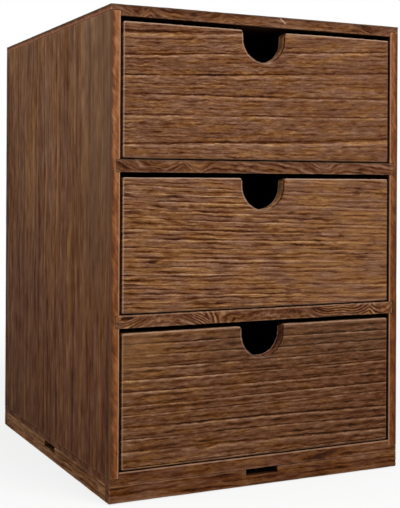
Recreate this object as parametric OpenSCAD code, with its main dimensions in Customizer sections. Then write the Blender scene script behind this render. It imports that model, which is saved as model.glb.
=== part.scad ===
// Small chest of three drawers in brushed, scorched paulownia.
// Origin: centre of the footprint, on the surface the chest stands on.
// +X is the right-hand side, -Y the front with the drawers, +Z up. Millimetres.

/* [Case] */
// Overall width
body_w = 237; // [200:1:300]
// Overall depth
body_d = 264; // [220:1:320]
// Overall height
body_h = 340; // [300:1:420]
// Thickness of the two side panels
side_t = 7.2; // [6:0.2:10]
// Thickness of the top board
top_t = 8; // [7:0.5:12]
// Thickness of the bottom board
bottom_t = 9; // [7:0.5:12]
// Thickness of the two shelves between the drawers
shelf_t = 9; // [7:0.5:12]
// Depth of the end rabbets in the top board that take the side panels
top_rabbet = 3.6; // [2:0.2:5]
// Depth of the end rabbets in the bottom board that take the side panels
bottom_rabbet = 4.5; // [2:0.5:5]
// Depth of the dadoes in the side panels that take the shelves
dado_depth = 3; // [2:0.2:4]
// Thickness of the plywood back panel
back_t = 3; // [2.5:0.5:4]
// How far the back panel laps onto the case boards round it
back_lap = 4; // [3:0.2:5]
// Width of the chamfer that eases the arrises of every solid board
ease = 0.6; // [0.2:0.1:1]

/* [Base] */
// Height of the four base rails
rail_h = 12; // [8:0.5:24]
// Thickness of the base rails
rail_t = 8; // [6:0.5:12]
// Width of the air slot in the upper edge of each rail
slot_w = 26; // [16:1:48]
// Height of the air slot
slot_h = 4.4; // [2:0.2:6]

/* [Drawer clearances] */
// Gap at each end of a drawer front
side_gap = 1.9; // [0.8:0.1:3]
// Gap between a drawer front and the board over it
top_gap = 3.2; // [1.5:0.1:5]
// Gap between a drawer front and the board under it
foot_gap = 0.7; // [0.4:0.1:1.5]
// Running gap under the drawer sides
run_gap = 0.3; // [0.2:0.1:0.6]
// Gap between a shut drawer and the back panel
stop_gap = 0.5; // [0.2:0.1:2]

/* [Drawer box] */
// Thickness of a drawer front
front_t = 9; // [7:0.5:14]
// Thickness of the lip of the front that hides the ends of the drawer sides
front_lip = 3.6; // [2.5:0.1:5]
// Thickness of the drawer sides
wall_t = 6; // [5:0.5:8]
// Thickness of the drawer back
rear_t = 6; // [5:0.5:8]
// How much lower than the front the sides and the back stand
side_drop = 6; // [2:0.5:12]
// Thickness of the plywood drawer bottom
floor_t = 2.5; // [2:0.5:4]
// Height of the bottom's groove over the lower edge of the sides
floor_rise = 4; // [3:0.5:8]
// Depth of the grooves that hold the drawer bottom
groove_depth = 2.4; // [1.5:0.1:3]
// Play at the edges of the drawer bottom in its grooves
groove_play = 0.3; // [0.1:0.1:0.6]

/* [Finger notch] */
// Width of the notch in the top edge of each drawer front
notch_w = 33.6; // [24:0.2:48]
// Depth of the notch below the top edge
notch_h = 22.6; // [20:0.2:30]
// Radius of the two rounded corners where the notch meets the top edge
notch_corner = 3; // [1:0.5:5]

/* [Back panel pins] */
// Diameter of a pin's shank
pin_d = 1.2; // [0.8:0.1:1.6]
// Length of a pin under its head
pin_length = 12; // [8:0.5:15]
// Diameter of a pin's head
pin_head_d = 2.6; // [2:0.1:3]
// Thickness of a pin's head, let in flush with the back panel
pin_head_t = 0.7; // [0.4:0.1:1]
// Clearance of a pin in its hole, on the diameter
pin_play = 0.04; // [0.02:0.02:0.1]
// Number of pins down each side
pins_high = 5; // [3:1:8]
// Number of pins along the top, the bottom and each shelf
pins_wide = 3; // [2:1:6]

/* [Hidden] */
$fn = 64;

LEVELS = 3;  // number of drawers; level 0 is the lowest
cut = 1;     // how far a cutting shape runs past the face that it opens

// Case: the inside space and the heights of the boards
front_y = -body_d / 2;
inner_w = body_w - 2 * side_t;
bottom_top = rail_h + bottom_t;
top_under = body_h - top_t;
opening_h = (top_under - bottom_top - (LEVELS - 1) * shelf_t) / LEVELS;
shelf_w = inner_w + 2 * dado_depth;
shelf_d = body_d - back_t;
back_w = inner_w + 2 * back_lap;
back_z = bottom_top - back_lap;
back_h = top_under - bottom_top + 2 * back_lap;
panel_z = bottom_top - bottom_rabbet;
panel_h = top_under - bottom_top + bottom_rabbet + top_rabbet;

// Drawer: the front fills its opening less the gaps, and the box behind it stops at the back panel
front_w = inner_w - 2 * side_gap;
front_h = opening_h - top_gap - foot_gap;
wall_y = front_y + front_lip;
rear_y = body_d / 2 - back_t - stop_gap;
wall_h = front_h + foot_gap - run_gap - side_drop;
floor_w = front_w - 2 * wall_t + 2 * (groove_depth - groove_play);
floor_y = front_y + front_t - groove_depth + groove_play;
notch_r = notch_w / 2;

// Pins: down the middle of the strips on which the back panel laps
pin_x = inner_w / 2 + back_lap / 2;
pin_low = bottom_top - back_lap / 2;
pin_high = top_under + back_lap / 2;

function floor_z(level) = bottom_top + level * (opening_h + shelf_t);
function shelf_z(level) = floor_z(level) - shelf_t;
function spread(low, high, count, i) = low + (high - low) * (i + 0.5) / count;

// A rectangle with its corners cut off at 45 degrees
module eased_rect(w, h) {
    polygon([[ease, 0], [w - ease, 0], [w, ease], [w, h - ease],
             [w - ease, h], [ease, h], [0, h - ease], [0, ease]]);
}

// Extrusions of an outline along Y and along X
module along_y(length) { translate([0, length, 0]) rotate([90, 0, 0]) linear_extrude(length) children(); }
module along_x(length) { rotate([90, 0, 90]) linear_extrude(length) children(); }

// A solid board with every arris eased: the three eased prisms leave a chamfer on all twelve edges
module board(corner, size) {
    translate(corner) intersection() {
        linear_extrude(size.z) eased_rect(size.x, size.y);
        along_y(size.y) eased_rect(size.x, size.z);
        along_x(size.x) eased_rect(size.y, size.z);
    }
}

// The space of the back panel, let into the case boards from behind
module back_recess() {
    translate([-back_w / 2, body_d / 2 - back_t, back_z]) cube([back_w, back_t + cut, back_h]);
}

// The places of the pins, on the strips behind which there is a board
module at_pins() {
    for (side = [-1, 1], i = [0 : pins_high - 1])
        translate([side * pin_x, body_d / 2, spread(bottom_top, top_under, pins_high, i)]) children();
    for (z = [pin_low, pin_high, shelf_z(1) + shelf_t / 2, shelf_z(2) + shelf_t / 2], i = [0 : pins_wide - 1])
        translate([spread(-inner_w / 2, inner_w / 2, pins_wide, i), body_d / 2, z]) children();
}

// A pin with its head flush with the back of the panel; play widens it to make its own hole
module pin(play) {
    rotate([90, 0, 0]) translate([0, 0, -play]) {
        cylinder(h = pin_head_t + play, d = pin_head_d + play);
        cylinder(h = pin_head_t + pin_length + 2 * play, d = pin_d + play);
    }
}

module pin_holes() { at_pins() pin(pin_play); }

// Case
module top_board() {
    color([0.36, 0.24, 0.16]) difference() {
        board([-body_w / 2, front_y, top_under], [body_w, body_d, top_t]);
        for (side = [0, 1]) mirror([side, 0, 0])
            translate([inner_w / 2, front_y - cut, top_under - cut])
                cube([side_t + cut, body_d + 2 * cut, top_rabbet + cut]);
        back_recess();
        pin_holes();
    }
}

module bottom_board() {
    color([0.36, 0.24, 0.16]) difference() {
        board([-body_w / 2, front_y, rail_h], [body_w, body_d, bottom_t]);
        for (side = [0, 1]) mirror([side, 0, 0])
            translate([inner_w / 2, front_y - cut, panel_z])
                cube([side_t + cut, body_d + 2 * cut, bottom_rabbet + cut]);
        back_recess();
        pin_holes();
    }
}

module side_panel(side) {
    color([0.30, 0.22, 0.17]) difference() {
        board([side > 0 ? inner_w / 2 : -body_w / 2, front_y, panel_z], [side_t, body_d, panel_h]);
        for (level = [1 : LEVELS - 1])
            translate([-shelf_w / 2, front_y - cut, shelf_z(level)]) cube([shelf_w, shelf_d + cut, shelf_t]);
        back_recess();
        pin_holes();
    }
}

module shelf(level) {
    color([0.40, 0.27, 0.18]) difference() {
        board([-shelf_w / 2, front_y, shelf_z(level)], [shelf_w, shelf_d, shelf_t]);
        pin_holes();
    }
}

module back_panel() {
    color([0.45, 0.33, 0.23]) difference() {
        translate([-back_w / 2, body_d / 2 - back_t, back_z]) cube([back_w, back_t, back_h]);
        pin_holes();
    }
}

module back_panel_pins() {
    color([0.55, 0.54, 0.52]) at_pins() pin(0);
}

// Base: the front and back rails run the full width and the side rails stand between them
module rail_along_x(y) {
    color([0.33, 0.22, 0.15]) difference() {
        board([-body_w / 2, y, 0], [body_w, rail_t, rail_h]);
        translate([-slot_w / 2, y - cut, rail_h - slot_h]) cube([slot_w, rail_t + 2 * cut, slot_h + cut]);
    }
}

module rail_along_y(x) {
    color([0.33, 0.22, 0.15]) difference() {
        board([x, front_y + rail_t, 0], [rail_t, body_d - 2 * rail_t, rail_h]);
        translate([x - cut, -slot_w / 2, rail_h - slot_h]) cube([rail_t + 2 * cut, slot_w, slot_h + cut]);
    }
}

// The notch's outline about the middle of the front's top edge: a U with its two upper corners rounded off
module notch_outline() {
    translate([0, notch_r - notch_h]) circle(notch_r);
    translate([-notch_r, notch_r - notch_h]) square([notch_w, notch_h - notch_r + cut]);
    for (side = [0, 1]) mirror([side, 0]) translate([notch_r, -notch_corner]) difference() {
        square([notch_corner, notch_corner + cut]);
        translate([notch_corner, 0]) circle(notch_corner);
    }
}

// Drawer front, with the notch, a rebate at each end for the sides and a groove for the bottom
module drawer_front(level) {
    z = floor_z(level) + foot_gap;
    color([0.42, 0.27, 0.17]) difference() {
        board([-front_w / 2, front_y, z], [front_w, front_t, front_h]);
        translate([0, front_y - cut, z + front_h]) along_y(front_t + 2 * cut) notch_outline();
        for (side = [0, 1]) mirror([side, 0, 0])
            translate([front_w / 2 - wall_t, wall_y, z - cut]) cube([wall_t + cut, front_t, front_h + 2 * cut]);
        drawer_floor_space(level);
    }
}

// The space that the drawer bottom and its grooves take
module drawer_floor_space(level) {
    slack = 2 * groove_play;
    translate([-(floor_w + slack) / 2, floor_y - groove_play, floor_z(level) + run_gap + floor_rise])
        cube([floor_w + slack, rear_y - floor_y + groove_play + cut, floor_t]);
}

module drawer_side(level, side) {
    color([0.62, 0.47, 0.32]) difference() {
        board([side > 0 ? front_w / 2 - wall_t : -front_w / 2, wall_y, floor_z(level) + run_gap],
              [wall_t, rear_y - wall_y, wall_h]);
        drawer_floor_space(level);
    }
}

// The back stands on the bottom, between the two sides
module drawer_back(level) {
    z = floor_z(level) + run_gap + floor_rise + floor_t;
    color([0.62, 0.47, 0.32])
        board([wall_t - front_w / 2, rear_y - rear_t, z],
              [front_w - 2 * wall_t, rear_t, wall_h - floor_rise - floor_t]);
}

module drawer_bottom(level) {
    color([0.66, 0.52, 0.37])
        translate([-floor_w / 2, floor_y, floor_z(level) + run_gap + floor_rise])
            cube([floor_w, rear_y - floor_y, floor_t]);
}

top_board();
bottom_board();
side_panel(-1);  // left_side_panel
side_panel(1);  // right_side_panel
shelf(2);  // upper_shelf
shelf(1);  // lower_shelf
back_panel();
back_panel_pins();
rail_along_x(front_y);  // base_front_rail
rail_along_x(-front_y - rail_t);  // base_back_rail
rail_along_y(-body_w / 2);  // base_left_rail
rail_along_y(body_w / 2 - rail_t);  // base_right_rail

drawer_front(2);  // top_drawer_front
drawer_side(2, -1);  // top_drawer_left_side
drawer_side(2, 1);  // top_drawer_right_side
drawer_back(2);  // top_drawer_back
drawer_bottom(2);  // top_drawer_bottom
drawer_front(1);  // middle_drawer_front
drawer_side(1, -1);  // middle_drawer_left_side
drawer_side(1, 1);  // middle_drawer_right_side
drawer_back(1);  // middle_drawer_back
drawer_bottom(1);  // middle_drawer_bottom
drawer_front(0);  // bottom_drawer_front
drawer_side(0, -1);  // bottom_drawer_left_side
drawer_side(0, 1);  // bottom_drawer_right_side
drawer_back(0);  // bottom_drawer_back
drawer_bottom(0);  // bottom_drawer_bottom
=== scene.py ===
import math

import bpy
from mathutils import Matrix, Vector


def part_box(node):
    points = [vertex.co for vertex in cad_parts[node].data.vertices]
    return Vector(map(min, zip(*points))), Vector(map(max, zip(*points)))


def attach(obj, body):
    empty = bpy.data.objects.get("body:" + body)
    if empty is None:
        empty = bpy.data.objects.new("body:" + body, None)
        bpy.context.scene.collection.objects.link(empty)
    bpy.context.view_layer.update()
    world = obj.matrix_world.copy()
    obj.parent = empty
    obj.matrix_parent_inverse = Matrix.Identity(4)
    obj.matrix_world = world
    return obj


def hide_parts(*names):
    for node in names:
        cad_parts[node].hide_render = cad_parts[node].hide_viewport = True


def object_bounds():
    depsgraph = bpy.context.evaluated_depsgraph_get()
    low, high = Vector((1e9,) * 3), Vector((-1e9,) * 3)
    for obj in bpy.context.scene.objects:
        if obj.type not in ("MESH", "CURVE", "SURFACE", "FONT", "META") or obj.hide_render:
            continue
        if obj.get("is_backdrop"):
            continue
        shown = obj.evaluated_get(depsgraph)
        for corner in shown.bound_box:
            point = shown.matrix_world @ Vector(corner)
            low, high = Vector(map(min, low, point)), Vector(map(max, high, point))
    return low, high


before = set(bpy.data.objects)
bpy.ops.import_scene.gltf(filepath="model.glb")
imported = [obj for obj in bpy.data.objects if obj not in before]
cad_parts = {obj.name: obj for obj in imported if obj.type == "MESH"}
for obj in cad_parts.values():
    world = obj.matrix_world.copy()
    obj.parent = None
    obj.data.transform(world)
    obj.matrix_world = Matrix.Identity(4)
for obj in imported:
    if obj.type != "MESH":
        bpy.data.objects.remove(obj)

cad_low, cad_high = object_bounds()


# Camera
# A level view of the front and the left side, from above the middle of the case, with the horizon in the
# upper half of the picture.
picture_height = 508
focal_px = 1055.3
horizon_px = 184.2
film_mm = 36
view_place = (-0.3731, -0.8023, 0.2175)
view_turn = math.radians(25.66)
view_roll = math.radians(0.3)

bpy.ops.object.camera_add(location=view_place, rotation=(math.pi / 2, -view_roll, -view_turn))
camera = bpy.context.object
camera.data.sensor_width = film_mm
camera.data.lens = film_mm * focal_px / picture_height
camera.data.shift_y = (horizon_px - picture_height / 2) / picture_height
bpy.context.scene.camera = camera


# Side panels
# Two paulownia boards with the grain upright. The faces are scorched, stained and brushed, which hollows the
# soft wood beside the hard rings. The front edges are planed later, and the inner faces are painted dark as
# shade inside the case.
def node(tree, kind, settings=None, inputs=(), output=0):
    """Adds a node, its settings first, and returns one of its outputs as a Wire."""
    made = tree.nodes.new(kind)
    for key, value in (settings or {}).items():
        if key == "stops":
            ramp = made.color_ramp
            while len(ramp.elements) < len(value):
                ramp.elements.new(0.5)
            for stop, (position, colour) in zip(ramp.elements, value):
                stop.position = position
                stop.color = (*colour, 1)
        else:
            setattr(made, key, value)
    live = [socket for socket in made.inputs if socket.enabled]
    pairs = inputs.items() if isinstance(inputs, dict) else enumerate(inputs)
    for key, value in pairs:
        socket = made.inputs[key] if isinstance(key, str) else live[key]
        if isinstance(value, Wire):
            tree.links.new(value.socket, socket)
        else:
            socket.default_value = value
    shown = [socket for socket in made.outputs if socket.enabled]
    return Wire(made.outputs[output] if isinstance(output, str) else shown[output])


class Wire:
    """An output socket. Arithmetic on wires adds Math nodes to the tree that they are in."""

    def __init__(self, socket):
        self.socket = socket
        self.tree = socket.id_data

    def math(self, operation, *values):
        return node(self.tree, "ShaderNodeMath", {"operation": operation}, values)

    def __add__(self, other):
        return self.math("ADD", self, other)

    def __radd__(self, other):
        return self.math("ADD", other, self)

    def __sub__(self, other):
        return self.math("SUBTRACT", self, other)

    def __rsub__(self, other):
        return self.math("SUBTRACT", other, self)

    def __mul__(self, other):
        return self.math("MULTIPLY", self, other)

    def __rmul__(self, other):
        return self.math("MULTIPLY", other, self)

    def __truediv__(self, other):
        return self.math("DIVIDE", self, other)

    def __pow__(self, other):
        return self.math("POWER", self, other)

    def __abs__(self):
        return self.math("ABSOLUTE", self)

    def fraction(self):
        return self.math("FRACT", self)

    def root(self):
        return self.math("SQRT", self)

    def wave(self):
        """A wave between 0 and 1, with its crests at 0 and at every whole turn."""
        return 0.5 + self.math("COSINE", self) * 0.5

    def least(self, other):
        return self.math("MINIMUM", self, other)

    def most(self, other):
        return self.math("MAXIMUM", self, other)

    def step(self, start, end):
        """0 up to start, 1 from end on, with an eased slope between them; start may be the larger."""
        return node(self.tree, "ShaderNodeMapRange", {"interpolation_type": "SMOOTHSTEP"},
                    {"Value": self, "From Min": start, "From Max": end, "To Min": 0.0, "To Max": 1.0})

    def beside(self, name):
        """Another output of the same node."""
        return Wire(self.socket.node.outputs[name])

    def parts(self):
        """The X, Y and Z of a place."""
        xyz = node(self.tree, "ShaderNodeSeparateXYZ", None, (self,))
        return [xyz.beside(axis) for axis in "XYZ"]


def noise(spot, size, detail=2.0, roughness=0.5):
    """Noise between 0 and 1 at a spot, with features of a given size, in metres, each of its three ways."""
    tree = spot[0].tree
    place = node(tree, "ShaderNodeCombineXYZ", None, [way / length for way, length in zip(spot, size)])
    return node(tree, "ShaderNodeTexNoise", None,
                {"Vector": place, "Scale": 1.0, "Detail": detail, "Roughness": roughness})


def blend(share, first, second):
    """A colour between two colours. The share or the first colour is a wire."""
    tree = (first if isinstance(first, Wire) else share).tree
    first, second = [colour if isinstance(colour, Wire) else (*colour, 1) for colour in (first, second)]
    return node(tree, "ShaderNodeMix", {"data_type": "RGBA", "blend_type": "MIX"}, (share, first, second))


def lay(colour, *coats):
    """Lays thin coats over a colour, one after another. Each is its share and its stain."""
    for share, coat in coats:
        colour = blend(share, colour, coat)
    return colour


def stain(red, green, blue):
    """A colour from a stain chart, where 255 is full, as the shader wants it."""
    return tuple(((level / 255 + 0.055) / 1.055) ** 2.4 for level in (red, green, blue))


def brushed_grain(place, stock):
    """The growth rings and strands of a board at a place, and the height of its brushed surface."""
    xyz = place.parts()
    on_board = [xyz["XYZ".index(axis)] for axis in stock["axes"]]
    board_along, board_across, board_through = on_board
    spot = [way + shift for way, shift in zip(on_board, stock["cut_from"])]
    along, across, through = spot

    pith_across, pith_through = stock["pith"]
    out_across, out_through = board_across - pith_across, board_through - pith_through
    radius = (out_across * out_across + out_through * out_through).root()
    bow = (noise(spot, (0.12, 0.05, 0.05), 1.0) - 0.5) * stock["bow"]
    fan = board_along * (board_across - stock["foot"]) * stock["fan"]
    from_pith = radius + along * stock["taper"] + bow + fan
    sway = noise(spot, (stock["sway_length"], 0.004, 0.004), 1.0) - 0.5
    if stock["curls"]:
        curl_fade = 0.012
        zigzag_length = 0.05
        drift = noise(spot, (0.05, 0.03, 0.03), 1.0)
        zigzag = abs((along / zigzag_length + drift * 2.0).fraction() - 0.5) * 1.8
        curl = noise(spot, (0.012, 0.03, 0.012), 0.0)
        curled = 0.0
        for middle, half in stock["curls"]:
            curled = abs(board_along - middle).step(half + curl_fade, half - curl_fade).most(curled)
        curled = board_across.step(cad_low.y + 0.025, cad_low.y + 0.003) * curled
        from_pith = from_pith + (zigzag + curl * 0.25) * curled * stock["ripple"]

    # The rings: a dark line that the brush hollows, with a hard crest beside it
    line = stock["line"]
    chatter = noise(spot, (0.004, 0.002, 0.002), 1.0) - 0.5
    ring_place = from_pith + sway * stock["sway"] * 0.35 + chatter * 0.0009
    uneven = noise((ring_place, along, 0.0), (stock["ring"] * 1.7, 0.5, 1.0), 0.0) - 0.5
    phase = (ring_place / stock["ring"] + uneven * 1.2).fraction()
    faint = noise((along, ring_place, through), (0.03, 0.01, 0.02), 1.0).step(0.25, 0.55)
    groove = phase.step(0.0, line * 0.3) * phase.step(line * 1.6, line * 0.3) * (0.45 + faint * 0.55)
    crest = phase.step(line * 0.8, line * 1.6) * phase.step(line * 3.2, line * 1.6) * (0.3 + faint * 0.7)

    # The furrows and strands between the rings, which crowd together and spread out again
    layer = from_pith + sway * stock["sway"] + chatter * stock["chatter"]
    crowd = (noise((layer, along, through), (0.012, 0.1, 0.02), 0.0) - 0.5) * 4.0
    wave = (layer / (stock["pitch"] / math.tau) + crowd).wave()
    furrow = wave ** (3.0 - stock["even"] * 1.8)
    in_layer = (along, layer, through)
    broken = noise(in_layer, (stock["strand_length"] * 2, stock["pitch"] * 1.5, 0.01), 1.0)
    furrow = furrow * broken.step(0.36, 0.62).most(stock["even"])
    strand = noise(in_layer, (stock["strand_length"], stock["strand_width"], 0.004), 3.0, stock["grit"])
    hair = noise(in_layer, (0.0025, 0.0008, 0.001), 1.0)
    height = ((strand - 0.5) * stock["rough"] + crest * stock["crest"] - groove * stock["groove"]
              - furrow * stock["furrow"] + (hair - 0.5) * stock["hair"])
    if stock["curls"]:
        height = height + (wave - 0.5) * curled * stock["hatch"]
    return {"along": along, "across": across, "through": through, "layer": layer, "strand": strand,
            "height": height}


def arris_distance(place, low, high):
    """How far a place on a board is from the nearest of the twelve edges of its box."""
    a, b, c = [(axis - low[i]).least(high[i] - axis) for i, axis in enumerate(place.parts())]
    return a.least(b).most(a.most(b).least(c))


def inside_case(place):
    """1 on the faces that look into the case, which are painted dark as shade."""
    x, y, z = place.parts()
    skin = 0.0006
    behind_edge = 0.0015
    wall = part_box("right_side_panel")[0].x + skin
    floor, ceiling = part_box("bottom_board")[1].z - skin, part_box("top_board")[0].z + skin
    depth = (wall - abs(x)).least(y - (cad_low.y + behind_edge)).least(z - floor).least(ceiling - z)
    return depth.step(0.0, skin / 2)


def new_finish(name):
    """An empty finish, its shader, and the place on the piece that its pattern reads."""
    finish = bpy.data.materials.new(name)
    finish.use_nodes = True
    shader = finish.node_tree.nodes["Principled BSDF"]
    return finish, shader, node(finish.node_tree, "ShaderNodeTexCoord", None, (), "Object")


def coat(shader, colour, roughness, relief=None):
    """Gives the shader a colour, a roughness and, in metres, a fine relief that vary over the surface."""
    tree = colour.tree
    tree.links.new(colour.socket, shader.inputs["Base Color"])
    tree.links.new(roughness.socket, shader.inputs["Roughness"])
    if relief is not None:
        bump = node(tree, "ShaderNodeBump", None, {"Strength": 1.0, "Distance": 1.0, "Height": relief})
        tree.links.new(bump.socket, shader.inputs["Normal"])


smoked_stain = ((0.0, stain(31, 9, 2)), (0.25, stain(74, 37, 17)), (0.5, stain(106, 71, 50)),
                (0.75, stain(142, 105, 82)), (1.0, stain(175, 140, 116)))
honey_stain = ((0.0, stain(32, 10, 0)), (0.25, stain(79, 40, 9)), (0.5, stain(116, 76, 43)),
               (0.75, stain(156, 114, 74)), (1.0, stain(192, 155, 113)))
speck_stain = stain(54, 40, 32)
inside_shade_stain = stain(30, 18, 12)
worn_highlight_stain = stain(190, 150, 118)


def scorched_finish(name, low, high, stock, dress=None):
    """The finish of one board: colour and relief follow its own rings, and its arrises are worn pale, partly
    as a painted highlight.
    """
    finish, shader, place = new_finish(name)
    grain = brushed_grain(place, stock)
    in_layer = (grain["along"], grain["layer"], grain["through"])
    spot = (grain["along"], grain["across"], grain["through"])
    lengthwise = place.parts()["XYZ".index(stock["axes"][0])]

    patch = noise(in_layer, (*stock["patch_size"], 0.02), 2.0)
    specks = noise(in_layer, (0.012, 0.002, 0.01), 2.0).step(0.52, 0.66)
    specks = specks * noise(spot, (0.05, 0.03, 0.03), 0.0).step(0.45, 0.65)
    calmer = 1.0 - lengthwise.step(-0.03, 0.06) * stock["calmer"]
    own_tone_at = 0.17
    tone = (stock["tone"] + grain["height"] * stock["contrast"] * calmer + (patch - 0.5) * stock["patch"]
            + (lengthwise - own_tone_at) * stock["paler"] - specks * stock["smoke"])
    smoked = node(place.tree, "ShaderNodeValToRGB", {"stops": smoked_stain}, (tone,))
    honey = node(place.tree, "ShaderNodeValToRGB", {"stops": honey_stain}, (tone,))
    hue = noise(in_layer, (*stock["hue_size"], 0.012), 2.0) + lengthwise * stock["yellower"]
    colour = blend(hue.step(0.36 - stock["warm"], 0.64 - stock["warm"]), smoked, honey)
    colour = blend(specks * stock["smoke"], colour, speck_stain)
    if dress:
        colour = dress(colour, place, grain)
    # Painted shade: the faces inside the case are darkened nearly to black.
    if stock["darkened"]:
        colour = blend(inside_case(place) * 0.85, colour, inside_shade_stain)
    # The arrises are painted pale: wear, and a painted highlight along them.
    worn_highlight = arris_distance(place, low, high).step(0.0016, 0.0006) * (0.2 + grain["strand"])
    colour = blend(worn_highlight * stock["rub"], colour, worn_highlight_stain)
    coat(shader, colour, 0.85 - grain["strand"] * 0.25, grain["height"] * stock["relief"])
    shader.inputs["Specular IOR Level"].default_value = 0.04
    return finish


def select_only(piece):
    bpy.ops.object.select_all(action="DESELECT")
    piece.select_set(True)
    bpy.context.view_layer.objects.active = piece


def block(name, low, high):
    """A sawn block between two corners, with its place and size in its mesh."""
    bpy.ops.object.select_all(action="DESELECT")
    bpy.ops.mesh.primitive_cube_add(size=1, location=(low + high) / 2, scale=high - low)
    bpy.ops.object.transform_apply(location=True, rotation=True, scale=True)
    piece = bpy.context.object
    piece.name = name
    return piece


def drop_picks(piece, kind):
    """Deselects all of a piece, and leaves edit mode ready to select edges or faces."""
    select_only(piece)
    bpy.ops.object.mode_set(mode="EDIT")
    bpy.ops.mesh.select_mode(type=kind)
    bpy.ops.mesh.select_all(action="DESELECT")
    bpy.ops.object.mode_set(mode="OBJECT")


def pick_edges(piece, wanted):
    """Goes into edit mode with only those edges selected whose two ends pass a test."""
    drop_picks(piece, "EDGE")
    for edge in piece.data.edges:
        edge.select = wanted(*[piece.data.vertices[i].co for i in edge.vertices])
    bpy.ops.object.mode_set(mode="EDIT")


def bevel_picked(radius, segments):
    """Rounds the edges that are selected, and leaves edit mode."""
    bpy.ops.mesh.bevel(offset=radius, segments=segments, affect="EDGES")
    bpy.ops.object.mode_set(mode="OBJECT")


def cut_fine(piece, axis, spacing):
    """Divides the long edges that run along an axis into steps of about the spacing, but not the bevels."""
    most_cuts = 100
    near_enough = 0.8
    shortest_share = 0.6
    places = [vertex.co[axis] for vertex in piece.data.vertices]
    length = max(places) - min(places)
    while length / 2 > spacing * near_enough:
        cuts = min(most_cuts, math.ceil(length / spacing) - 1)
        pick_edges(piece, lambda a, b: abs(a[axis] - b[axis]) > length * shortest_share)
        bpy.ops.mesh.subdivide(number_cuts=cuts)
        bpy.ops.object.mode_set(mode="OBJECT")
        length /= cuts + 1


def cut_away(piece, cutter, keep="DIFFERENCE"):
    """Takes one piece out of another, or keeps only what they share, and removes the cutter."""
    select_only(piece)
    modifier = piece.modifiers.new("cut", "BOOLEAN")
    modifier.operation = keep
    modifier.solver = "EXACT"
    modifier.object = cutter
    bpy.ops.object.modifier_apply(modifier=modifier.name)
    bpy.data.objects.remove(cutter)


def cut_joints(piece, own_node, *neighbours):
    """Cuts the rebate, dado or groove that each neighbour sits in. The neighbours don't meet each other."""
    low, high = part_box(own_node)
    flush, past = 0.0002, 0.001
    cutters = []
    for neighbour in neighbours:
        a, b = [Vector(corner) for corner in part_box(neighbour)]
        for axis in range(3):
            a[axis] -= past if abs(a[axis] - low[axis]) < flush else 0
            b[axis] += past if abs(b[axis] - high[axis]) < flush else 0
        cutters.append(block(neighbour + "_cutter", a, b))
    for cutter in cutters:
        cutter.select_set(True)
    bpy.context.view_layer.objects.active = cutters[0]
    if len(cutters) > 1:
        bpy.ops.object.join()
    cut_away(piece, cutters[0])


def sawn_board(own_node, stock):
    """A board in the place of its CAD node, with rounded arrises and faces divided finely for the brush."""
    low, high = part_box(own_node)
    board = block(own_node + "_brushed", low, high)
    bpy.ops.object.mode_set(mode="EDIT")
    bpy.ops.mesh.select_all(action="SELECT")
    bevel_picked(stock["ease"], segments=3)
    coarse = 1
    along_spacing = 0.004
    for axis, name in enumerate("XYZ"):
        cut_fine(board, axis, (along_spacing if name == stock["axes"][0] else stock["fine"]) * coarse)
    return board


def brush(board, stock):
    """Sinks the surface below its sawn face, deepest in the grooves, as a wire brush does."""
    sawn_level, deepest = 0.6, -2.0
    group = bpy.data.node_groups.new(board.name + "_relief", "GeometryNodeTree")
    group.interface.new_socket("Geometry", in_out="INPUT", socket_type="NodeSocketGeometry")
    group.interface.new_socket("Geometry", in_out="OUTPUT", socket_type="NodeSocketGeometry")
    sawn = node(group, "NodeGroupInput")
    place = node(group, "GeometryNodeInputPosition")
    outward = node(group, "GeometryNodeInputNormal")
    height = (brushed_grain(place, stock)["height"] - sawn_level).least(0.0).most(deepest)
    offset = node(group, "ShaderNodeVectorMath", {"operation": "SCALE"},
                  {"Vector": outward, "Scale": height * stock["depth"]})
    brushed = node(group, "GeometryNodeSetPosition", None, {"Geometry": sawn, "Offset": offset})
    done = group.nodes.new("NodeGroupOutput")
    group.links.new(brushed.socket, done.inputs[0])
    select_only(board)
    modifier = board.modifiers.new("relief", "NODES")
    modifier.node_group = group
    bpy.ops.object.modifier_apply(modifier=modifier.name)
    bpy.ops.object.shade_smooth_by_angle(angle=math.radians(50))


def fit(board, own_node, body, stock, dress=None):
    """Finishes a board and puts it in the place of its CAD node."""
    brush(board, stock)
    board.data.materials.clear()
    board.data.materials.append(scorched_finish(own_node + "_wood", *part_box(own_node), stock, dress))
    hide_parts(own_node)
    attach(board, body)


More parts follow.
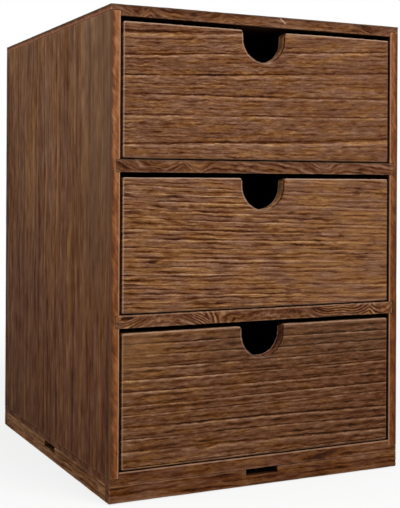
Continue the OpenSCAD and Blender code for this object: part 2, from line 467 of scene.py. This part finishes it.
side_stock = {
    "axes": "ZYX",  # the axes along, across and through the grain
    "pith": (0.5, 0.05),  # where the heart of the tree was, across and through
    "taper": 0.004,  # how fast the rings widen along the grain
    "bow": 0.012,  # how far they bow
    "fan": 0.0,  # how fast they spread upwards from the foot, and the height of the foot
    "foot": 0.0,
    "sway": 0.004,  # how far the strands waver, and over which length
    "sway_length": 0.03,
    "chatter": 0.0005,  # how far they shake
    "ring": 0.017,  # spacing of the rings, and the share of it that the line of a ring takes
    "line": 0.12,
    "groove": 0.3,  # depth of that line, and height of the hard crest beside it
    "crest": 0.3,
    "pitch": 0.010,  # spacing and depth of the furrows, and how soft and unbroken they are
    "furrow": 0.4,
    "even": 0.0,
    "strand_length": 0.017,  # size, height and sharpness of the strands
    "strand_width": 0.0044,
    "rough": 1.9,
    "grit": 0.58,
    "hair": 0.03,  # height of the finest brush marks
    "curls": (),  # middle and half width of each knotty stretch of the front edge
    "depth": 0.0002,  # metres that a height of 1 is brushed deep, and metres of bump
    "relief": 0.00012,
    "ease": 0.0004,  # radius of the arrises
    "fine": 0.0007,  # spacing of the mesh across the grain
    "tone": 0.43,  # depth of the stain: its mean, and what the height and the patches do to it
    "contrast": 0.34,
    "patch": 0.55,
    "patch_size": (0.16, 0.018),
    "paler": 0.7,  # how much paler the board gets in a metre of its length; on the side panels this is painted light, paler towards the top
    "calmer": 0.0,  # how much of the contrast is lost towards its far end
    "smoke": 0.0,  # how dark its specks are
    "warm": -0.02,  # how much of it is honey and not smoked, and how fast that changes along it
    "yellower": 0.0,
    "hue_size": (0.10, 0.009),
    "rub": 0.12,  # how pale the arrises are worn, with a painted highlight along them
    "darkened": True,  # whether the faces inside the case are painted dark as shade
}
planed_stain = ((0.0, stain(70, 32, 10)), (0.35, stain(115, 67, 35)), (0.6, stain(145, 94, 61)),
                (1.0, stain(182, 138, 104)))


def planed_front_edge(colour, place, grain):
    """The front edge is planed after scorching: it is more orange, with char left along its outer corner."""
    x, y, z = place.parts()
    along, across, through = grain["along"], grain["across"], grain["through"]
    from_front = y - cad_low.y
    from_corner = cad_high.x - abs(x)
    slant = along + through * 1.4
    mottle = noise((slant, across, through), (0.0035, 0.003, 0.004), 3.0, 0.6)
    cloud = noise((along, across, through), (0.014, 0.003, 0.0028), 1.0)
    # Paler towards the top, as painted light falling from above; the right stile is darker.
    edge_tone = (0.34 + z.step(0.10, 0.30) * 0.23 - x.step(0.0, 0.1) * 0.12
                 + grain["height"] * 0.15 + (mottle - 0.5) * 0.75 + (cloud - 0.5) * 0.65)
    edge = node(place.tree, "ShaderNodeValToRGB", {"stops": planed_stain}, (edge_tone,))
    ragged = noise((slant, from_corner, across), (0.007, 0.004, 0.003), 2.0)
    corner_char = (from_corner + (ragged - 0.5) * 0.010).step(0.0042, 0.0006)
    # Painted highlight: a pale line along the inner arris of each stile.
    inner_arris = (abs(x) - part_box("right_side_panel")[0].x).step(0.0012, 0.0004)
    edge = lay(edge, (corner_char * 0.75, stain(70, 38, 20)), (inner_arris * 0.45, stain(196, 150, 120)))

    darker_back = from_front.step(0.112, 0.262) * 0.24
    # Painted sheen: the upper front of the side face is paler and more olive.
    painted_sheen_top = from_front.step(0.092, 0.012) * z.step(0.10, 0.24) * 0.4
    dark_foot = from_front.step(0.010, 0.003) * z.step(0.18, 0.08) * 0.3
    planed = from_front.step(0.0010, 0.0005)
    outer_arris = from_corner.most(from_front).step(0.0018, 0.0008) * (0.3 + grain["strand"])
    return lay(colour, (darker_back, stain(56, 32, 20)), (painted_sheen_top, stain(118, 92, 70)),
               (dark_foot, stain(48, 30, 20)), (planed, edge), (outer_arris * 0.8, stain(58, 30, 16)))


side_changes = {
    "left_side_panel": dict(cut_from=(0.0, 0.0, 0.0), tone=0.46),
    "right_side_panel": dict(cut_from=(0.7, 0.3, 0.2)),
}
for own_node, changes in side_changes.items():
    stock = {**side_stock, **changes}
    panel = sawn_board(own_node, stock)
    cut_joints(panel, own_node, "upper_shelf", "lower_shelf")
    cut_joints(panel, own_node, "back_panel")
    fit(panel, own_node, "cabinet", stock, planed_front_edge)


# Shelves
# Two boards housed in dadoes in the side panels. Their front edges cut across knotty, rippled grain. The
# upper shelf's front arris keeps its char, and the lower one's is worn to bare wood by the drawer over it.
bare_stain = stain(170, 132, 106)
char_stain = stain(44, 26, 15)
worn_band = (0.0014, 0.0006)  # how far from an arris the wear ends, and how far it is whole


def marked_upper_arris(own_node, share, mark):
    """The arris that a drawer slides in over is worn to bare wood, or keeps its char."""
    low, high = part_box(own_node)
    side_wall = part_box("right_side_panel")[0].x

    def dress(colour, place, grain):
        x, y, z = place.parts()
        worn = (high.z - z).most(y - low.y).step(*worn_band) * (0.3 + grain["strand"])
        worn = worn * abs(x).step(side_wall + 0.0002, side_wall - 0.0008)
        return blend(worn * share, colour, mark)
    return dress


close_stock = dict(side_stock, rough=2.1, grit=0.65, hair=0.2, hue_size=(0.025, 0.0045), paler=0.0)
shelf_stock = dict(close_stock, axes="XYZ", pith=(0.35, 0.0), bow=0.004, ring=0.009, sway=0.0015,
                   sway_length=0.014, pitch=0.0028, strand_length=0.008, strand_width=0.0013, contrast=0.5,
                   tone=0.46, patch=0.5, patch_size=(0.05, 0.006), warm=-0.05, smoke=0.25, fine=0.0009,
                   furrow=1.0)
for own_node, share, mark, changes in (
        ("upper_shelf", 0.8, char_stain,
         dict(cut_from=(0.2, 0.1, 0.4), curls=((-0.077, 0.030), (0.042, 0.020)), ripple=0.006,
              hatch=0.35, taper=0.1, furrow=0.5, tone=0.44, warm=-0.12)),
        ("lower_shelf", 0.4, bare_stain,
         dict(cut_from=(1.3, 0.6, 0.1), curls=((-0.106, 0.012), (-0.040, 0.023), (0.077, 0.031)),
              ripple=0.012, hatch=1.05, furrow=0.4, tone=0.36, paler=-0.3, strand_length=0.004,
              pitch=0.0030))):
    stock = {**shelf_stock, **changes}
    stock["pith"] = (0.35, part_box(own_node)[0].z - 0.5)
    shelf = sawn_board(own_node, stock)
    fit(shelf, own_node, "cabinet", stock, marked_upper_arris(own_node, share, mark))


# Bottom board and top board
# They close the case, and both are rebated over the ends of the side panels, so their front edges run
# through. The top board's upper arris stays charred, and has one pale nick across it at the front.
nick_x, nick_z = 0.0157, 0.3371
nick_run, nick_rise = 0.776, 0.63
nick_stain = stain(190, 152, 128)
end_grain_stain = stain(164, 108, 82)


def nicked(colour, place, grain):
    """Char on the upper arris, reddish end grain in the middle of each corner, and the nick."""
    x, y, z = place.parts()
    from_top = cad_high.z - z
    upper = from_top.step(0.0030, 0.0004) * (0.2 + grain["strand"])
    end_grain = (cad_high.x - abs(x)).step(0.0010, 0.0004) * from_top.step(0.0014, 0.0034)
    end_grain = end_grain * from_top.step(0.0078, 0.0056) * (0.5 + grain["strand"])
    right, up = x - nick_x, z - nick_z
    across_nick = abs(right * nick_rise + up * nick_run).step(0.0008, 0.0002)
    along_nick = abs(right * nick_run - up * nick_rise).step(0.0038, 0.0022)
    bare = across_nick * along_nick * (y - cad_low.y).step(0.004, 0.002)
    return lay(colour, (upper * 0.8, char_stain), (end_grain * 0.6, end_grain_stain),
               (bare * 0.65, nick_stain))


for own_node, dress, changes in (
        ("bottom_board", marked_upper_arris("bottom_board", 0.65, bare_stain),
         dict(cut_from=(0.9, 0.2, 0.3), pith=(0.35, -0.3), tone=0.37, warm=0.0, pitch=0.0032,
              strand_length=0.009, sway=0.003, contrast=0.31, furrow=0.7)),
        ("top_board", nicked,
         dict(cut_from=(0.4, 0.8, 0.6), pith=(0.35, -0.2), tone=0.43, warm=-0.06,
              curls=((-0.06, 0.05), (0.1, 0.01)), ripple=0.006, hatch=0.4, hair=0.5, contrast=0.42,
              furrow=0.4))):
    stock = {**shelf_stock, **changes, "ring": 0.014}
    board = sawn_board(own_node, stock)
    cut_joints(board, own_node, "left_side_panel", "right_side_panel")
    cut_joints(board, own_node, "back_panel")
    fit(board, own_node, "cabinet", stock, dress)


# Base frame
# Four rails under the bottom board lift the case, and the side ones stand between the front and back ones.
# Each has a long slot in its top for air and for the fingers, which is painted dark inside as shade.
rail_stock = dict(close_stock, pith=(-0.3, 0.05), bow=0.003, ring=0.012, sway=0.003, pitch=0.0032,
                  strand_length=0.009, strand_width=0.0014, furrow=0.8, tone=0.40, contrast=0.35,
                  patch=0.6, patch_size=(0.05, 0.006), warm=0.0, fine=0.0006)
rails = "base_front_rail", "base_back_rail", "base_left_rail", "base_right_rail"
side_rail_paler = 0.16
side_rail_warmer = 0.12
slot_length, slot_depth = 0.026, 0.0044
base_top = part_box("base_front_rail")[1].z
past = 0.001


def shaded_slot(colour, place, grain):
    """The slots are painted dark inside as shade, but not on the rails' outer faces."""
    x, y, z = place.parts()
    skin = 0.0003
    in_slot = abs(x).least(abs(y)).step(slot_length / 2 + skin, slot_length / 2)
    in_slot = in_slot * z.step(base_top - slot_depth - 0.0004, base_top - slot_depth)
    within = (cad_high.x - abs(x)).least(cad_high.y - abs(y)).step(skin, 0.0009)
    return blend(in_slot * within * 0.9, colour, stain(20, 12, 8))


for number, own_node in enumerate(rails):
    low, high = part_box(own_node)
    long_way = 0 if high.x - low.x > high.y - low.y else 1
    wide_way = 1 - long_way
    stock = dict(rail_stock, axes=("XZY", "YZX")[long_way], cut_from=(number * 0.7, 0.1, number * 0.3))
    stock["tone"] += long_way * side_rail_paler
    stock["warm"] += long_way * side_rail_warmer
    rail = sawn_board(own_node, stock)
    slot_low, slot_high = (low + high) / 2, (low + high) / 2
    slot_low[long_way] -= slot_length / 2
    slot_high[long_way] += slot_length / 2
    slot_low[wide_way] = low[wide_way] - past
    slot_high[wide_way] = high[wide_way] + past
    slot_low.z, slot_high.z = high.z - slot_depth, high.z + past
    cut_away(rail, block("slot_cutter", slot_low, slot_high))
    fit(rail, own_node, "cabinet", stock, shaded_slot)


# Back panel
# A sheet of stained plywood in a rebate round the back of the case. It keeps its CAD shape. The faces are
# rotary cut, with wide soft figure, and a darker middle ply shows at the edges.
core_stain = stain(66, 42, 27)


def stained_plywood(name, low, high, axes):
    """Three plies of stained wood. The axes run along, across and through the grain of the faces."""
    finish, shader, place = new_finish(name)
    xyz = place.parts()
    along, across, through = ["XYZ".index(axis) for axis in axes]
    on_face = (xyz[along], xyz[across], 0.0)
    drift = noise(on_face, (0.11, 0.035, 1.0), 2.0) - 0.5
    figure = ((xyz[across] + drift * 0.05) / 0.016).fraction()
    figure = figure.step(0.0, 0.3) * figure.step(1.0, 0.7)
    pores = noise(on_face, (0.004, 0.0006, 1.0), 2.0)
    tone = 0.33 + figure * 0.1 + drift * 0.3 + (pores - 0.5) * 0.35
    colour = node(place.tree, "ShaderNodeValToRGB", {"stops": honey_stain}, (tone,))
    core = abs(xyz[through] - (low[through] + high[through]) / 2).step(0.00055, 0.00045)
    coat(shader, blend(core * 0.7, colour, core_stain), 0.75 - pores * 0.2, pores * 0.00006)
    shader.inputs["Specular IOR Level"].default_value = 0.1
    return finish


def dress_node(own_node, finish):
    """Gives a CAD node, whose own shape is kept, its finish."""
    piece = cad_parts[own_node]
    piece.data.materials.clear()
    piece.data.materials.append(finish)


dress_node("back_panel", stained_plywood("back_plywood", *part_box("back_panel"), "ZXY"))


# Back panel pins
# Small bright steel nails through the plywood into the boards round it and the shelves, with their heads let
# in flush. They keep their CAD shape.
steel, shader, place = new_finish("steel_pins")
dulled = noise(place.parts(), (0.002, 0.002, 0.002), 2.0)
coat(shader, blend(dulled, stain(140, 136, 130), stain(196, 193, 188)), 0.25 + dulled * 0.3)
shader.inputs["Metallic"].default_value = 1.0
dress_node("back_panel_pins", steel)


# Drawer fronts
# Inset boards with the grain across and a finger notch in the top edge. Rebates hold the sides, and a groove
# holds the bottom. The notch's rim and the upper and left arrises are worn pale with a painted highlight;
# the others stay charred. The notch's wall is painted light, with a painted shade line and highlight at its
# right side.
notch_radius = 0.0168
notch_drop = 0.0058
lip_radius = 0.003
rim_ease = 0.0007
corner_radius = 0.0016
front_stock = dict(close_stock, axes="XZY", pith=(0.9, 0.1), taper=0.0, bow=0.002, sway=0.0020,
                   sway_length=0.013, chatter=0.0009, ring=0.015, line=0.09, groove=0.7, crest=0.5,
                   pitch=0.0028, furrow=0.5, strand_length=0.009, strand_width=0.0012, hair=0.5,
                   tone=0.495, contrast=0.52, patch=0.4, patch_size=(0.07, 0.006), warm=-0.02, rub=0.15,
                   ease=rim_ease, fine=0.00045, darkened=False)
front_changes = {
    "top": dict(cut_from=(0.0, 0.0, 0.0), fan=0.6, rough=2.2, calmer=0.25, tone=0.505, warm=-0.04),
    "middle": dict(cut_from=(0.5, 0.35, 0.2), ring=0.006, groove=0.2, smoke=0.2, sway=0.003,
                   sway_length=0.026, furrow=0.8, even=0.4, pitch=0.0031, strand_length=0.014,
                   strand_width=0.0014, tone=0.57, taper=-0.03, patch=0.12, calmer=0.35, warm=0.0),
    "bottom": dict(cut_from=(1.1, 0.15, 0.5), ring=0.008, tone=0.355, contrast=0.60, line=0.12, groove=0.55,
                   even=0.3, strand_width=0.0015, pitch=0.0043, rough=1.7, hair=0.3, patch=0.25,
                   yellower=-0.8, warm=-0.12, sway=0.0018, paler=-0.35),
}


def pick_faces(piece, wanted):
    """Goes into edit mode with only those faces selected that pass a test."""
    drop_picks(piece, "FACE")
    for face in piece.data.polygons:
        face.select = wanted(face)
    bpy.ops.object.mode_set(mode="EDIT")


def notch_cutter(low, high, centre):
    """A U-shaped plug that is wider at both faces, so that it leaves a rounded rim, and at the lips."""
    above, past, near = 0.005, 0.001, 1e-5
    foot = centre - notch_radius
    round_foot = notch_radius * 0.9999  # a full radius would leave no edge between the two corners
    plug = block("notch_cutter", Vector((-notch_radius, low.y + rim_ease, foot)),
                 Vector((notch_radius, high.y - rim_ease, high.z + above)))
    bpy.ops.object.mode_set(mode="EDIT")
    bpy.ops.mesh.select_all(action="SELECT")
    bpy.ops.mesh.bisect(plane_co=(0, 0, high.z), plane_no=(0, 0, 1))
    bpy.ops.object.mode_set(mode="OBJECT")
    for side in (-1, 1):
        pick_faces(plug, lambda face: face.normal.x * side > 0.9 and face.center.z > high.z)
        bpy.ops.mesh.extrude_region_move(TRANSFORM_OT_translate={"value": (side * lip_radius * 2, 0, 0)})
        bpy.ops.object.mode_set(mode="OBJECT")
    for height, radius, segments in ((high.z, lip_radius, 6), (foot, round_foot, 18)):
        pick_edges(plug, lambda a, b: (abs(abs(a.x) - notch_radius) < near and abs(a.z - height) < near
                                       and abs(a.y - b.y) > near))
        bevel_picked(radius, segments)
    for side in (-1, 1):
        pick_faces(plug, lambda face: face.normal.y * side > 0.9)
        reached = notch_radius
        for turn in (30, 60, 90):  # the rim, a quarter round in three steps
            out = notch_radius + rim_ease * (1 - math.cos(math.radians(turn)))
            forward = rim_ease * (math.sin(math.radians(turn)) - math.sin(math.radians(turn - 30)))
            bpy.ops.mesh.extrude_region_move(TRANSFORM_OT_translate={"value": (0, side * forward, 0)})
            growth = out / reached
            bpy.ops.transform.resize(value=(growth, 1, growth), center_override=(0, 0, centre))
            reached = out
        bpy.ops.mesh.extrude_region_move(TRANSFORM_OT_translate={"value": (0, side * past, 0)})
        bpy.ops.object.mode_set(mode="OBJECT")
    return plug


def rounded_outline(low, high):
    """A block a hair larger than the front, with the four corners of its face rounded."""
    hair = Vector((0.00002, 0.00002, 0.00002))
    near = 0.001
    shape = block("outline", low - hair, high + hair)
    pick_edges(shape, lambda a, b: abs(a.y - b.y) > near)
    bevel_picked(corner_radius, segments=4)
    pick_edges(shape, lambda a, b: abs(a.y - b.y) < near)
    bevel_picked(rim_ease, segments=3)
    return shape


def worn_and_lit_notch(low, high, centre, share, wall_stains, tinted):
    """The notch's rim and upper and left arrises are worn pale with a painted highlight, and its bare wall
    has painted light. A tinted front took its stain unevenly.
    """
    def dress(colour, place, grain):
        x, y, z = place.parts()
        if tinted:
            upper = z.step(high.z - 0.042, high.z - 0.012)
            colour = lay(colour, (0.05, stain(92, 80, 40)),
                         (upper * x.step(-0.060, -0.105) * 0.30, stain(136, 98, 62)),
                         (upper * x.step(-0.065, -0.020) * 0.15, stain(76, 62, 46)))
        below = (z - centre).least(0.0)
        from_wall = (x * x + below * below).root() - notch_radius
        from_face = (y - low.y).least(high.y - y)
        mottle = noise((x, y, z), (0.003, 0.004, 0.0025), 2.0).step(0.3, 0.7)
        wall = from_wall.step(0.0006, 0.0002) * from_face.step(0.0008, 0.0014)
        right_wall = x.step(0.004, 0.009) * from_wall.step(0.0022, 0.0018)
        # Painted shade: a dark line along the near edge of the notch's right wall.
        near_edge_shade = (y - low.y).step(0.0012, 0.0006) * from_wall.step(0.0010, 0.0006) * right_wall
        # Painted highlight: a pale line along the far edge of the notch's wall.
        far_edge_highlight = (high.y - y).step(0.0020, 0.0010) * from_wall.step(0.0006, 0.0002)
        darkened = (high.x - x).least(z - low.z).most(from_face).step(0.0013, 0.0005)

        # The rim and the upper and left arrises are worn pale, partly as a painted highlight.
        rim = from_wall.most(from_face).step(0.0017, 0.0009) * (1.0 - right_wall)
        rim = rim.most((high.z - z).most(from_face).step(*worn_band))
        left_arris = (x - low.x).most(from_face).step(*worn_band)
        worn = rim.most(left_arris * 0.6) * (0.3 + grain["strand"]) * share
        return lay(colour, (wall * 0.8, blend(mottle, *wall_stains)),
                   (near_edge_shade * 0.7, stain(62, 34, 18)), (far_edge_highlight * 0.8, stain(226, 190, 160)),
                   (darkened * 0.8, stain(44, 22, 10)), (worn, stain(176, 144, 124)))
    return dress


# The lighter wall stains paint light onto notch walls that the lamps barely reach, over bare wood.
bare_lit_wall_stains = stain(130, 80, 45), stain(205, 150, 98)
dark_wall_stains = stain(70, 34, 18), stain(142, 84, 58)
for level, changes in front_changes.items():
    own_node = level + "_drawer_front"
    low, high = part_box(own_node)
    notch_centre = high.z - notch_drop
    stock = {**front_stock, **changes, "foot": low.z}
    if level == "bottom":
        dress = worn_and_lit_notch(low, high, notch_centre, 0.45, dark_wall_stains, True)
    else:
        dress = worn_and_lit_notch(low, high, notch_centre, 0.85, bare_lit_wall_stains, False)
    front = sawn_board(own_node, stock)
    cut_away(front, rounded_outline(low, high), "INTERSECT")
    cut_joints(front, own_node, level + "_drawer_left_side", level + "_drawer_right_side")
    cut_joints(front, own_node, level + "_drawer_bottom")
    cut_away(front, notch_cutter(low, high, notch_centre))
    fit(front, own_node, level + "_drawer", stock, dress)


# Drawer sides and backs
# Thin paulownia, planed smooth and stained. The sides are glued into the rebates of the front, and the back
# between the sides. They keep their CAD shapes.
box_stock = dict(close_stock, pith=(-0.3, 0.1), bow=0.004, ring=0.012, strand_width=0.002, tone=0.4,
                 contrast=0.2, patch=0.3, hue_size=(0.10, 0.009), relief=0.00005, rub=0.3, darkened=False)
for number, level in enumerate(front_changes):
    for part, axes in (("left_side", "YZX"), ("right_side", "YZX"), ("back", "XZY")):
        own_node = f"{level}_drawer_{part}"
        stock = dict(box_stock, axes=axes, cut_from=(number * 0.4, len(part) * 0.1, number * 0.3))
        dress_node(own_node, scorched_finish(own_node + "_wood", *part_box(own_node), stock))


# Drawer bottoms
# Thin stained plywood, held in grooves on three sides, with the drawer's back standing on it. They keep
# their CAD shapes.
for level in front_changes:
    own_node = level + "_drawer_bottom"
    dress_node(own_node, stained_plywood(own_node + "_plywood", *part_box(own_node), "XYZ"))


# Floor and background
# A plain pale floor that runs out white, and keeps the shade under the case and close round it. The
# background is white where it is seen, and lights the pieces much less.
floor_size = 8
floor_gap = 0.0005
sky_light = 0.32


def seen_rays(tree):
    """1 for what is seen straight, in a reflection or through glass, and 0 for light on the pieces."""
    path = node(tree, "ShaderNodeLightPath", None, (), "Is Camera Ray")
    return path + path.beside("Is Glossy Ray") + path.beside("Is Transmission Ray")


finish, shader, place = new_finish("pale_floor")
shader.inputs["Base Color"].default_value = (0.8, 0.8, 0.8, 1)
shader.inputs["Roughness"].default_value = 0.9
x, y, z = place.parts()
outside = (abs(x) - cad_high.x).most(abs(y) - cad_high.y)
open_floor = outside.step(-0.012, 0.0) * (0.8 + outside.step(0.1, 0.9) * 0.2)
glow = node(place.tree, "ShaderNodeEmission", None, {"Color": (1, 1, 1, 1), "Strength": 1.0})
mixed = node(place.tree, "ShaderNodeMixShader", None,
             (seen_rays(place.tree) * open_floor, Wire(shader.outputs["BSDF"]), glow))
place.tree.links.new(mixed.socket, place.tree.nodes["Material Output"].inputs["Surface"])

bpy.ops.object.select_all(action="DESELECT")
bpy.ops.mesh.primitive_plane_add(size=floor_size, location=(0, 0, -floor_gap))
floor = bpy.context.object
floor.name = "floor"
bpy.ops.object.transform_apply(location=True, rotation=True, scale=True)
floor.data.materials.append(finish)
floor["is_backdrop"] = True

world = bpy.data.worlds.new("studio")
bpy.context.scene.world = world
world.use_nodes = True
backdrop = world.node_tree.nodes["Background"]
backdrop.inputs["Color"].default_value = (1, 1, 1, 1)
strength = sky_light + seen_rays(world.node_tree).least(1.0) * (1 - sky_light)
world.node_tree.links.new(strength.socket, backdrop.inputs["Strength"])


# Studio light
# One large soft box in front and above, a little to the right, so that the left side is the shaded one, and
# a weak one over that side.
def soft_box(name, place, target, size, watts):
    direction = Vector(target) - Vector(place)
    turn = direction.to_track_quat("-Z", "Y").to_euler()
    bpy.ops.object.light_add(type="AREA", location=place, rotation=turn)
    lamp = bpy.context.object
    lamp.name = name
    lamp.data.shape = "RECTANGLE"
    lamp.data.size, lamp.data.size_y = size
    lamp.data.energy = watts


soft_box("front_light", place=(0.4, -1.2, 1.25), target=(0, -0.1, 0.25), size=(1.0, 0.7), watts=22)
soft_box("side_light", place=(-0.9, -0.1, 1.1), target=(-0.1, 0, 0.3), size=(0.6, 0.6), watts=5)

bpy.context.scene.view_settings.view_transform = "Standard"

low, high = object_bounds()
